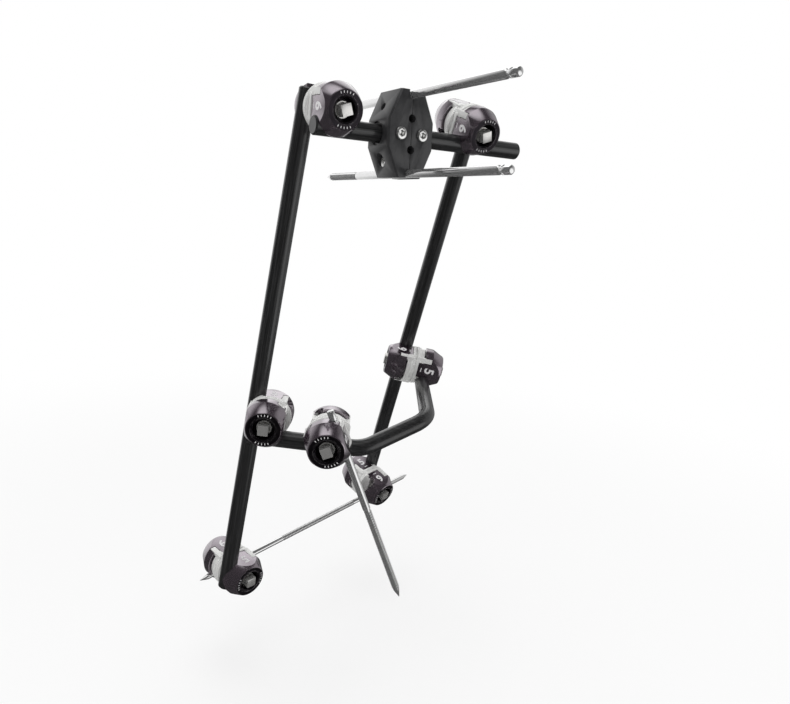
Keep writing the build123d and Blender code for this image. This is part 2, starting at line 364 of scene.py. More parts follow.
Value = Union["Wire", float]


class Wire:
    """A value socket that can be used in arithmetic."""

    def __init__(self, shop: "Shader", socket: bpy.types.NodeSocket) -> None:
        """Wrap a socket.

        Args:
            shop: The material that it belongs to.
            socket: The socket.
        """
        self.shop, self.socket = shop, socket

    def _math(self, operation: str, a: Value, b: Value = 0.0) -> "Wire":
        """Add a Math node.

        Args:
            operation: The node's operation.
            a: First value.
            b: Second value.

        Returns:
            The result.
        """
        return self.shop.node("ShaderNodeMath", {"operation": operation}, {0: a, 1: b})

    def __add__(self, other: Value) -> "Wire":
        """Sum."""
        return self._math("ADD", self, other)

    def __sub__(self, other: Value) -> "Wire":
        """Difference."""
        return self._math("SUBTRACT", self, other)

    def __mul__(self, other: Value) -> "Wire":
        """Product."""
        return self._math("MULTIPLY", self, other)

    __radd__, __rmul__ = __add__, __mul__


class Shader:
    """One procedural material with a Principled shader."""

    def __init__(self, name: str) -> None:
        """Start the material.

        Args:
            name: Its name.
        """
        self.material = bpy.data.materials.new(name)
        self.material.use_nodes = True
        self.tree = self.material.node_tree
        self.surface = self.tree.nodes["Principled BSDF"]
        self.place = self.node("ShaderNodeTexCoord", {}, {}, "Object").socket

    def node(self, kind: str, settings: dict, inputs: dict, out: Union[int, str] = 0) -> Wire:
        """Add a node.

        Args:
            kind: Blender's node type.
            settings: Node properties, set first; "stops" holds a ramp's stops.
            inputs: Socket name or index to a value or a link.
            out: The output to wrap.

        Returns:
            The wrapped output.
        """
        new = self.tree.nodes.new(kind)
        for key, value in settings.items():
            if key == "stops":
                for stop, (at, level) in zip(new.color_ramp.elements, value):
                    stop.position, stop.color = at, (level, level, level, 1)
            else:
                setattr(new, key, value)
        for key, value in inputs.items():
            self.join(value, new.inputs[key])
        return Wire(self, new.outputs[out])

    def join(self, value: object, socket: bpy.types.NodeSocket) -> None:
        """Link a wire or a socket to an input, or set its value.

        Args:
            value: Wire, socket or constant.
            socket: The input.
        """
        if isinstance(value, Wire):
            self.tree.links.new(value.socket, socket)
        elif isinstance(value, bpy.types.NodeSocket):
            self.tree.links.new(value, socket)
        else:
            socket.default_value = value

    def noise(self, scale: float, detail: float = 3.0, rough: float = 0.55, vector: object = None) -> Wire:
        """Noise on the piece's own place.

        Args:
            scale: Cells per metre.
            detail: Octaves.
            rough: Strength of the finer octaves.
            vector: Another place to read, such as a stretched one.

        Returns:
            The noise, from 0 to 1.
        """
        return self.node("ShaderNodeTexNoise", {}, {"Vector": self.place if vector is None else vector,
                                                    "Scale": scale, "Detail": detail, "Roughness": rough})

    def along(self, axis: Point, stretch: float) -> Wire:
        """The piece's place with one direction squeezed, so that a pattern runs along it.

        Args:
            axis: Direction that the pattern runs along.
            stretch: How many times longer the pattern is that way.

        Returns:
            The mapped place.
        """
        turn = Vector(axis).rotation_difference(Vector((0, 0, 1))).to_euler()
        turned = self.node("ShaderNodeMapping", {"vector_type": "POINT"},
                           {"Vector": self.place, "Rotation": tuple(turn)})
        return self.node("ShaderNodeMapping", {"vector_type": "POINT"},
                         {"Vector": turned, "Scale": (1, 1, 1 / stretch)})

    def mix(self, factor: Value, a: Point, b: Point) -> Wire:
        """Blend two colours.

        Args:
            factor: 0 gives a, 1 gives b.
            a: First colour.
            b: Second colour.

        Returns:
            The blended colour.
        """
        return self.node("ShaderNodeMix", {"data_type": "RGBA"}, {0: factor, 6: (*a, 1), 7: (*b, 1)}, 2)

    def contrast(self, value: Wire, low: float, high: float) -> Wire:
        """Stretch a value so that low becomes 0 and high becomes 1.

        Args:
            value: The value.
            low: What becomes 0.
            high: What becomes 1.

        Returns:
            The stretched value.
        """
        return self.node("ShaderNodeValToRGB", {"stops": [(low, 0.0), (high, 1.0)]}, {"Fac": value})

    def bump(self, height: Wire, depth_mm: float, strength: float = 1.0) -> None:
        """Feed a height to the normal.

        Args:
            height: Height from 0 to 1.
            depth_mm: Height of 1, in millimetres.
            strength: Strength of the bump.
        """
        self.set(Normal=self.node("ShaderNodeBump", {}, {"Strength": strength, "Distance": depth_mm * MM,
                                                         "Height": height}))

    def set(self, **sockets: object) -> None:
        """Set or link sockets of the surface.

        Args:
            sockets: Values by socket name, with underscores for its spaces.
        """
        for key, value in sockets.items():
            self.join(value, self.surface.inputs[key.replace("_", " ")])


@dataclass(frozen=True)
class CarbonFinish:
    """Black pultruded carbon: fibres along the rod under a thin clear resin."""

    name: str
    axis: Point
    dark: Point = (0.007, 0.007, 0.0075)
    light: Point = (0.034, 0.034, 0.035)

    def make(self) -> bpy.types.Material:
        """Write the material.

        Returns:
            The material.
        """
        shop = Shader(self.name)
        along = shop.along(self.axis, 80.0)
        fibre = shop.noise(1900.0, 4.0, 0.65, along)
        cloud = shop.noise(45.0, 2.0)
        strand = shop.contrast(fibre, 0.42, 0.68)
        shop.set(Base_Color=shop.mix(strand, self.dark, self.light),
                 Roughness=0.2 + 0.2 * fibre + 0.06 * cloud,
                 Coat_Weight=0.5, Coat_Roughness=0.16, Specular_IOR_Level=0.5)
        shop.bump(fibre, 0.03, 0.7)
        return shop.material


@dataclass(frozen=True)
class AnodisedFinish:
    """Anodised aluminium with a clouded shade and fine turning marks."""

    name: str
    dark: Point
    light: Point
    roughness: float
    metallic: float = 0.95
    coat: float = 0.2
    grain_mm: float = 0.008
    coat_ior: float = 1.5

    def make(self) -> bpy.types.Material:
        """Write the material.

        Returns:
            The material.
        """
        shop = Shader(self.name)
        cloud = shop.noise(170.0, 4.0)
        grain = shop.noise(5200.0, 2.0, 0.7)
        shop.set(Base_Color=shop.mix(shop.contrast(cloud, 0.3, 0.7), self.dark, self.light),
                 Roughness=self.roughness + 0.12 * (cloud - 0.5) + 0.08 * (grain - 0.5),
                 Metallic=self.metallic, Coat_Weight=self.coat, Coat_Roughness=0.14, Coat_IOR=self.coat_ior)
        shop.bump(grain, self.grain_mm, 0.35)
        return shop.material


@dataclass(frozen=True)
class SteelFinish:
    """Steel, from blasted to polished."""

    name: str
    shade: Point
    roughness: float
    grain_mm: float
    blotch: float
    metallic: float = 1.0
    grain: float = 6500.0

    def make(self) -> bpy.types.Material:
        """Write the material.

        Returns:
            The material.
        """
        shop = Shader(self.name)
        cloud = shop.noise(260.0, 4.0)
        grain = shop.noise(self.grain, 3.0, 0.7)
        low = tuple(c * (1 - self.blotch) for c in self.shade)
        shop.set(Base_Color=shop.mix(0.5 * cloud + 0.5 * shop.contrast(grain, 0.35, 0.65), low, self.shade),
                 Roughness=self.roughness + 0.12 * (cloud - 0.5) + 0.1 * (grain - 0.5),
                 Metallic=self.metallic)
        shop.bump(grain, self.grain_mm, 0.5)
        return shop.material


@dataclass(frozen=True)
class DrawnFinish:
    """Polished steel drawn along one axis, with faint lengthwise lines."""

    name: str
    axis: Point
    shade: Point = (0.9, 0.9, 0.9)
    roughness: float = 0.09

    def make(self) -> bpy.types.Material:
        """Write the material.

        Returns:
            The material.
        """
        shop = Shader(self.name)
        line = shop.noise(2400.0, 3.0, 0.6, shop.along(self.axis, 120.0))
        cloud = shop.noise(120.0, 3.0)
        low = tuple(c * 0.86 for c in self.shade)
        shop.set(Base_Color=shop.mix(line, low, self.shade), Metallic=0.9,
                 Roughness=self.roughness + 0.1 * (line - 0.5) + 0.08 * (cloud - 0.5))
        shop.bump(line, 0.006, 0.5)
        return shop.material


@dataclass(frozen=True)
class PaintFinish:
    """White paint filled into the numerals and marks."""

    name: str
    shade: Point
    roughness: float

    def make(self) -> bpy.types.Material:
        """Write the material.

        Returns:
            The material.
        """
        shop = Shader(self.name)
        cloud = shop.noise(900.0, 3.0)
        low = tuple(c * 0.8 for c in self.shade)
        shop.set(Base_Color=shop.mix(cloud, low, self.shade), Roughness=self.roughness + 0.1 * (cloud - 0.5))
        shop.bump(cloud, 0.01, 0.3)
        return shop.material


class Palette:
    """All finishes of the fixator that more than one piece shares."""

    def __init__(self) -> None:
        """Write each material once."""
        self.cap = AnodisedFinish("cap_anodised", (0.12, 0.08, 0.115), (0.19, 0.13, 0.18), roughness=0.22,
                                  metallic=0.9, coat=1.0, grain_mm=0.006, coat_ior=2.9).make()
        self.face = AnodisedFinish("cap_face_black", (0.012, 0.01, 0.013), (0.026, 0.022, 0.027),
                                   roughness=0.3, metallic=0.85, coat=0.0).make()
        # Lighter steel for the cap's rounded edges and ring groove: partly bare metal, partly a painted
        # highlight that draws thin bright lines along them.
        self.edge = SteelFinish("cap_edge_bare_and_highlight", (0.62, 0.59, 0.61), roughness=0.24, grain_mm=0.004,
                                blotch=0.1, metallic=0.9).make()
        self.block = AnodisedFinish("block_black", (0.026, 0.026, 0.028), (0.044, 0.044, 0.046),
                                    roughness=0.42, metallic=0.15, grain_mm=0.03).make()
        # Lighter finish for the block's rounded edges: a painted highlight that draws thin light lines along
        # them.
        self.block_edge_highlight = AnodisedFinish("block_edge_highlight", (0.09, 0.09, 0.092), (0.15, 0.15, 0.152),
                                         roughness=0.35, metallic=0.4).make()
        self.jaw = SteelFinish("jaw_blasted", (0.9, 0.9, 0.885), roughness=0.45, grain_mm=0.05, blotch=0.22,
                               metallic=0.25, grain=3200.0).make()
        self.drive = SteelFinish("drive_bright", (0.84, 0.83, 0.81), roughness=0.24, grain_mm=0.02,
                                 blotch=0.2, metallic=0.8, grain=4200.0).make()
        self.screw = SteelFinish("screw_bright", (0.86, 0.86, 0.85), roughness=0.18, grain_mm=0.004,
                                 blotch=0.08).make()
        self.mark = PaintFinish("mark_white", (0.82, 0.81, 0.82), 0.6).make()


@dataclass(frozen=True)
class Line:
    """Axis of a rod or a pin, in millimetres from the top rod under the seam."""

    point: Vector
    direction: Vector


@dataclass(frozen=True)
class HalfPlan:
    """Where one half of a rod clamp is, and what it grips."""

    name: str
    body: str
    frame: Matrix
    grip_z: float
    pin_d: float
    digits: tuple[str, str]


class Layout:
    """Lines of the frame and the frames of the clamp halves, in millimetres."""

    bone_y: float = 57.0
    pin_z: float = 22.7
    pin_d: float = 5.0
    wire_d: float = 4.0
    rod_off: float = 10.1
    pin_off: float = 8.2
    left_at, left_lean = (-56.45, 17.95), (-0.1018, 0.1338)
    right_at, right_lean = (65.71, 19.26), (0.0129, 0.4003)
    bent = ((-84.6, 27.5, -189.4), (-21.1, -8.8, -196.3), (32.1, -5.6, -183.4), (82.9, 78.6, -175.4))
    heel_at, heel_dir = (-88.07, 78.28, -310.57), (1.0, 0.2432, 0.1182)
    foot_at, foot_dir = (-41.33, -18.85, -186.32), (0.3519, -0.0913, -0.9316)
    tibial_pin_y, tibial_pin_len, tibial_thread = -105.0, 200.0, 40.0
    foot_pin_above, foot_pin_len, foot_thread = 23.0, 141.0, 64.0
    fives = ("mid_right_far", "heel_left_near", "heel_right_far", "top_left_far")
    clamps = (("top_left", "top", "left", 1, 1), ("top_right", "top", "right", 1, -1),
              ("mid_left", "bent_left", "left", 1, 1), ("foot", "foot", "bent_left", -1, 1),
              ("mid_right", "right", "bent_right", 1, 1), ("heel_left", "left", "heel", 1, 1),
              ("heel_right", "heel", "right", 1, -1))

    def __init__(self) -> None:
        """Work out the lines."""
        corner = [Vector(p) for p in self.bent]
        self.shift = Vector((0, -self.bone_y, self.pin_z))
        self.lines = {
            "top": Line(Vector((0, 0, 0)), Vector((1, 0, 0))),
            "left": Line(Vector((*self.left_at, 0)), Vector((*self.left_lean, -1)).normalized()),
            "right": Line(Vector((*self.right_at, 0)), Vector((*self.right_lean, -1)).normalized()),
            "bent_left": Line(corner[0], (corner[1] - corner[0]).normalized()),
            "bent_right": Line(corner[3], (corner[2] - corner[3]).normalized()),
            "heel": Line(Vector(self.heel_at), Vector(self.heel_dir).normalized()),
            "foot": Line(Vector(self.foot_at), Vector(self.foot_dir).normalized()),
        }
        self.grip_d = {"heel": self.wire_d, "foot": self.pin_d}

    def halves(self) -> list[HalfPlan]:
        """Plans of all clamp halves.

        Returns:
            Two plans for each clamp, near and far.
        """
        plans = []
        for name, near, far, side_near, side_far in self.clamps:
            a, b = self.lines[near], self.lines[far]
            n = a.direction.cross(b.direction).normalized()
            gap = (a.point - b.point).dot(n)
            if gap < 0:
                n, gap = -n, -gap
            k = a.direction.dot(b.direction)
            w = b.point - a.point
            s = (w.dot(a.direction) - k * w.dot(b.direction)) / (1 - k * k)
            foot = a.point + a.direction * s
            u, v = n.cross(a.direction) * side_near, n.cross(b.direction) * side_far
            k = u.dot(v)
            off_a, off_b = self.offset(near), self.offset(far)
            centre = foot - n * gap / 2 + u * ((off_a - k * off_b) / (1 - k * k)) + v * (
                (off_b - k * off_a) / (1 - k * k))
            for side, line, to_bolt, out in ((Side.NEAR, near, u, n), (Side.FAR, far, v, -n)):
                x_dir = -to_bolt if line in self.grip_d else to_bolt.cross(out)
                body = "frame"
                if name == "foot":
                    body = "foot_head" if side is Side.NEAR else "foot_clamp"
                half = name + "_" + side.value
                digits = ("6", "5") if half in self.fives else ("5", "6")
                plans.append(HalfPlan(half, body, self.matrix(centre, x_dir, out), gap / 2,
                                      self.grip_d.get(line, self.pin_d), digits))
        return plans

    def offset(self, line: str) -> float:
        """Distance from a bolt axis to the line it grips.

        Args:
            line: Name of the line.

        Returns:
            The distance in millimetres.
        """
        return self.pin_off if line in self.grip_d else self.rod_off

    def matrix(self, origin: Vector, x_dir: Vector, z_dir: Vector) -> Matrix:
        """World matrix of a local frame.

        Args:
            origin: Its origin, in millimetres from the top rod.
            x_dir: Its X direction.
            z_dir: Its Z direction.

        Returns:
            The world matrix, in metres.
        """
        x, z = x_dir.normalized(), z_dir.normalized()
        turn = Matrix((x, z.cross(x), z)).transposed().to_4x4()
        return Matrix.Translation((origin + self.shift) * MM) @ turn

    def on_line(self, line: str, along: float) -> Matrix:
        """World matrix at a place on a line, with +Z along it.

        Args:
            line: Name of the line.
            along: Distance from the line's point, in millimetres.

        Returns:
            The world matrix, in metres.
        """
        axis = self.lines[line]
        side = axis.direction.orthogonal()
        return self.matrix(axis.point + axis.direction * along, side, axis.direction)


@dataclass
class ClampHalf:
    """One half of a rod clamp: cap, jaw, drive nut, spring and numerals, modelled about +Z."""

    palette: Palette
    grip_z: float
    pin_d: float
    half_len: float = 22.3
    rod_d: float = 11.0
    rod_off: float = 10.1
    pin_off: float = 8.2
    cap_d: float = 30.6
    face_d: float = 21.4
    face_edge: float = 0.6
    skirt_z: float = 7.6
    shoulder_z: float = 13.4
    roof: float = 3.2
    flat_x: float = 12.0
    wall: float = 2.6
    tab_w: float = 11.4
    tab_z: float = 3.0
    bore_d: float = 13.4
    bore_z: float = 15.6
    bore_edge: float = 0.9
    groove_r: float = 8.15
    groove_w: float = 0.45
    jaw_base: float = 0.12
    jaw_d: float = 29.6
    jaw_rim_z: float = 1.9
    jaw_flat_x: float = 12.6
    jaw_step_d: float = 27.0
    jaw_step_z: float = 3.4
    jaw_z: float = 6.3
    teeth: int = 72
    tooth: float = 0.5
    post: tuple[float, float] = (3.0, 3.6)
    post_at: tuple[float, float] = (10.4, 8.2)
    post_z: float = 12.6
    play: float = 0.3
    stud_d: float = 6.0
    stud_z: float = 18.03
    fit: float = 0.06
    nut_d: float = 9.8
    nut_flange: float = 2.9
    nut_rim: float = 0.9
    nut_sink: float = 2.1
    drive_af: float = 6.5
    drive_z: float = 24.0
    coil_r: float = 3.75
    coil_wire: float = 0.45
    digit_size: Point = (10.0, 10.2, 0.08)
    digit_z: float = 11.9
    tick_r: float = 9.5
    digit_y: float = 0.4
    digit_bold: float = 0.28
    bar: Point = (3.4, 0.6, 5.6)
    tick: tuple[float, float] = (1.2, 0.42)
    tick_turn: float = 12.0
    steps: int = 96
    face_drop: float = 0.5
    groove_floor: float = 0.6
    groove_depth: float = 0.3
    bore_drop: float = 0.8
    slot_reach: float = 12.0
    jaw_lip: tuple[float, float] = (0.35, 0.2)
    jaw_rise: float = 0.5
    tool_len: float = 50.0
    tab_reach: float = 20.0
    nut_seat: float = 0.03
    nut_edge: float = 0.25
    nut_slope: float = 0.2
    drive_foot: float = 0.3
    coil_turns: int = 3
    coil_gap: float = 0.05
    face_slot = 1
    edge_highlight_slot = 2

    def grooves(self, piece: bpy.types.Object) -> None:
        """Cut the rod groove at -Y and the pin groove at +X.

        Args:
            piece: Cap or jaw.
        """
        rod = Bench.rod("cut", (0, -self.rod_off, self.grip_z), (1, 0, 0), self.tool_len,
                        self.rod_d / 2 + self.fit)
        Bench.combine(piece, rod, Blend.CUT)
        pin = Bench.rod("cut", (self.pin_off, 0, self.grip_z), (0, 1, 0), self.tool_len,
                        self.pin_d / 2 + self.fit, 32)
        Bench.combine(piece, pin, Blend.CUT)

    def cap(self) -> bpy.types.Object:
        """Model the domed outer jaw with flats, side tabs, drive bore, ring groove and grooves.

        Returns:
            The cap.
        """
        r, hole, bore, top = self.cap_d / 2, self.stud_d / 2 + self.fit, self.bore_d / 2, self.half_len
        deck, half_w, floor_z = self.shoulder_z - self.roof, self.groove_w / 2, top - self.groove_depth
        cap = Bench.lathe("cap", [
            (r - self.wall, self.skirt_z), (r, self.skirt_z), (r, self.shoulder_z),
            (self.face_d / 2 + self.face_edge, top - self.face_drop), (self.face_d / 2, top),
            (self.groove_r + half_w, top), (self.groove_r + half_w * self.groove_floor, floor_z),
            (self.groove_r - half_w * self.groove_floor, floor_z), (self.groove_r - half_w, top),
            (bore + self.bore_edge, top), (bore, top - self.bore_drop), (bore, self.bore_z),
            (hole, self.bore_z), (hole, deck), (r - self.wall, deck),
        ], self.steps, closed=True)
        notch = self.post[1] + 2 * self.play
        for side in (-1, 1):
            Bench.slice(cap, (side * self.flat_x, 0, 0), (side, 0, 0))
            tab = Bench.block("tab", (side * (self.flat_x - self.wall / 2), 0, (self.tab_z + deck) / 2),
                              (self.wall, self.tab_w, deck - self.tab_z))
            Bench.combine(cap, tab, Blend.ADD)
            inner = self.post_at[0] - self.post[0] / 2 - self.play
            slot = Bench.block("slot", (side * (inner + self.slot_reach / 2), self.post_at[1], self.skirt_z),
                               (self.slot_reach, notch, 2 * (self.post_z + 2 * self.play - self.skirt_z)))
            Bench.combine(cap, slot, Blend.CUT)
        self.grooves(cap)
        Bench.dress(cap, self.palette.cap, self.palette.face, self.palette.edge)
        # Rounded edges and the ring groove get the lighter edge steel: partly bare metal, partly a painted
        # highlight along them.
        Bench.soften(cap, 0.2, angle=18.0, segments=1, smooth=14.0, slot=self.edge_highlight_slot)
        ring, zone = self.groove_r + self.groove_w, self.groove_w * 0.55
        Bench.paint_faces(cap, self.edge_highlight_slot, lambda c: floor_z - 0.05 < c.z < top - 0.02
                          and abs(c.xy.length - self.groove_r) < zone)
        Bench.paint_faces(cap, self.face_slot, lambda c: (c.z > top - 0.05 and c.xy.length < self.face_d / 2)
                          or (c.xy.length < ring and c.z > self.bore_z - 0.1))
        return cap

    def jaw(self) -> bpy.types.Object:
        """Model the inner jaw with a toothed rim, two posts, tab slots and grooves.

        Returns:
            The jaw.
        """
        r, s, hole = self.jaw_d / 2, self.jaw_step_d / 2, self.stud_d / 2 + self.fit
        lip, low = r - self.jaw_lip[0], self.jaw_base + self.jaw_rise
        jaw = Bench.lathe("jaw", [
            (hole, self.jaw_base), (r, self.jaw_base), (r, self.jaw_rim_z),
            (lip, self.jaw_rim_z + self.jaw_lip[1]), (lip, self.jaw_step_z),
            (s, self.jaw_step_z + self.jaw_rise), (s, self.jaw_z), (hole, self.jaw_z),
        ], self.teeth * 2, closed=True)
        self.knurl(jaw, r, self.teeth, 1 - self.tooth / r)
        for side in (-1, 1):
            Bench.slice(jaw, (side * self.jaw_flat_x, 0, 0), (side, 0, 0))
            post = Bench.block("post", (side * self.post_at[0], self.post_at[1], (low + self.post_z) / 2),
                               (*self.post, self.post_z - low))
            Bench.combine(jaw, post, Blend.ADD)
            reach, inner = self.tab_reach, self.flat_x - self.wall - self.play
            slot = Bench.block("slot", (side * (inner + reach / 2), 0, self.tab_z - self.play + reach / 2),
                               (reach, self.tab_w + 2 * self.play, reach))
            Bench.combine(jaw, slot, Blend.CUT)
        self.grooves(jaw)
        Bench.soften(jaw, 0.18, 40.0)
        Bench.dress(jaw, self.palette.jaw)
        return jaw

    @staticmethod
    def knurl(obj: bpy.types.Object, radius: float, teeth: int, squeeze: float) -> None:
        """Pull every second vertex of a turned rim inwards.

        Args:
            obj: The turned mesh.
            radius: Radius of the rim in millimetres.
            teeth: Number of teeth.
            squeeze: Factor on the radius between two teeth.
        """
        def valley(co: Vector) -> bool:
            """Whether a vertex lies between two teeth."""
            turn = round(math.atan2(co.y, co.x) / math.tau * teeth * 2)
            return co.xy.length > radius - 0.1 and turn % 2 == 1

        Bench.edit(obj, valley)
        bpy.ops.transform.resize(value=(squeeze, squeeze, 1), center_override=(0, 0, 0))
        bpy.ops.object.mode_set(mode="OBJECT")

    def nut(self) -> bpy.types.Object:
        """Model the drive nut: a flange with a raised rim and a square with broken corners.

        Returns:
            The nut.
        """
        low, r, hole = self.bore_z + self.nut_seat, self.nut_d / 2, self.stud_d / 2 + self.fit
        top, inner = low + self.nut_flange, r - self.nut_rim
        edge, sunk = self.nut_edge, top - self.nut_sink
        nut = Bench.lathe("nut", [(hole, low), (r, low), (r, top - edge), (r - edge, top), (inner, top),
                                  (inner - self.nut_slope, sunk), (hole, sunk)], 72, closed=True)
        side, foot = self.drive_af, sunk - self.drive_foot
        square = Bench.block("square", (0, 0, (foot + self.drive_z) / 2), (side, side, self.drive_z - foot))
        Bench.combine(nut, square, Blend.ADD)
        Bench.combine(nut, Bench.rod("cut", (0, 0, 0), (0, 0, 1), 2 * self.stud_z, hole, 72), Blend.CUT)
        Bench.soften(nut, 0.3, 40.0, 3)
        Bench.dress(nut, self.palette.drive)
        return nut

    def spring(self) -> bpy.types.Object:
        """Model the small coil spring between jaw and cap.

        Returns:
            The coil.
        """
        turns, wire, low = self.coil_turns, self.coil_wire, self.jaw_z + self.coil_gap
        high = self.shoulder_z - self.roof - self.coil_gap
        Bench.clear()
        bpy.ops.mesh.primitive_circle_add(vertices=12, radius=wire * MM, rotation=(math.pi / 2, 0, 0),
                                          location=(self.coil_r * MM, 0, (low + wire) * MM))
        coil = bpy.context.object
        bpy.ops.object.transform_apply(location=True, rotation=True, scale=True)
        Bench.coil(coil, (high - low - 2 * wire) / turns, turns, 32)
        bpy.ops.object.shade_smooth_by_angle(angle=math.radians(40))
        Bench.dress(coil, self.palette.drive)
        return coil

    def numeral(self, digit: str, side: int) -> bpy.types.Object:
        """Plain numeral on a side tab, its top outwards along the bolt.

        Args:
            digit: The numeral.
            side: Side of the tab, 1 or -1.

        Returns:
            The numeral as a mesh.
        """
        width, height, depth = self.digit_size
        Bench.clear()
        bpy.ops.object.text_add()
        text = bpy.context.object
        text.data.body, text.data.size = digit, height * MM
        text.data.align_x, text.data.align_y = "CENTER", "CENTER"
        text.data.extrude, text.data.offset = depth / 2 * MM, self.digit_bold * MM
        text.data.resolution_u = 6
        bpy.ops.object.convert(target="MESH")
        out, up = Vector((side, 0, 0)), Vector((0, 0, 1))
        turn = Matrix((up.cross(out), up, out)).transposed().to_4x4()
        at = Matrix.Translation(Vector((side * self.flat_x, self.digit_y, self.digit_z)) * MM)
        Bench.place(text, at @ turn @ Matrix.Diagonal((width / height, 1, 1, 1)))
        return text

    def marks(self, digits: tuple[str, str]) -> bpy.types.Object:
        """Numerals and short bars on the side tabs, and plain ticks on the face.

        Args:
            digits: The numerals at +X and -X.

        Returns:
            All marks as one mesh.
        """
        parts = []
        for side, digit in zip((1, -1), digits):
            parts.append(self.numeral(digit, side))
            parts.append(Bench.block("bar", (side * self.flat_x, self.digit_y, self.bar[2]),
                                     (self.digit_size[2], *self.bar[:2])))
        tick = Bench.block("tick", (self.tick_r, 0, self.half_len), (*self.tick, self.digit_size[2]))
        for base in (90, 270):
            for step in (-2, -1, 0, 1, 2):
                copy = Bench.copy(tick, "tick")
                Bench.place(copy, Matrix.Rotation(math.radians(base + step * self.tick_turn), 4, "Z"))
                parts.append(copy)
        bpy.data.objects.remove(tick, do_unlink=True)
        marks = Bench.merge("marks", parts)
        Bench.dress(marks, self.palette.mark)
        return marks


class ClampSet:
    """All rod clamps: each different shape is modelled once and copied to its places."""

    turned = {"top_left_near": 20.0, "top_right_near": 22.0, "heel_left_near": 6.0}

    def __init__(self, palette: Palette, layout: Layout) -> None:
        """Keep what the clamps need.

        Args:
            palette: The finishes.
            layout: The places.
        """
        self.palette, self.layout = palette, layout
        self.patterns: dict[tuple, bpy.types.Object] = {}

    def pattern(self, key: tuple, make: Callable[[], bpy.types.Object], name: str) -> bpy.types.Object:
        """Copy of a shape, which is modelled the first time.

        Args:
            key: What sets the shape apart.
            make: Models it.
            name: Name of the copy.

        Returns:
            The copy.
        """
        if key not in self.patterns:
            self.patterns[key] = make()
        return Bench.copy(self.patterns[key], name)

    def build(self) -> None:
        """Make all halves, put them in place and let them stand for their CAD nodes."""
        coils: dict[str, list[bpy.types.Object]] = {"frame": [], "foot": []}
        for plan in self.layout.halves():
            stem, shape = plan.name, (round(plan.grip_z, 3), plan.pin_d)
            half = ClampHalf(self.palette, plan.grip_z, plan.pin_d)
            for kind, make, slot in (("cap", half.cap, Slot.CAP), ("jaw", half.jaw, Slot.JAW)):
                piece = self.pattern((kind, *shape), make, stem + "_" + kind + "_shape")
                Bench.place(piece, plan.frame)
                Bench.finish(piece, plan.body, slot, stem + "_" + kind)
            nut = self.pattern(("nut",), half.nut, stem + "_nut_shape")
            turn = Matrix.Rotation(math.radians(self.turned.get(stem, 0.0)), 4, "Z")
            Bench.place(nut, plan.frame @ turn)
            Bench.finish(nut, stem + "_drive", Slot.DRIVE, stem + "_nut")
            marks = self.pattern(("marks", *plan.digits), lambda: half.marks(plan.digits), stem + "_marks")
            Bench.place(marks, plan.frame)
            Bench.finish(marks, plan.body, Slot.CAP)
            coil = self.pattern(("spring",), half.spring, stem + "_spring")
            Bench.place(coil, plan.frame)
            coils["frame" if plan.body == "frame" else "foot"].append(coil)
        for where, body in (("frame", "frame"), ("foot", "foot_clamp")):
            springs = Bench.merge(where + "_springs_shape", coils[where])
            Bench.finish(springs, body, Slot.DRIVE, where + "_springs")
        for shape in self.patterns.values():
            bpy.data.objects.remove(shape, do_unlink=True)


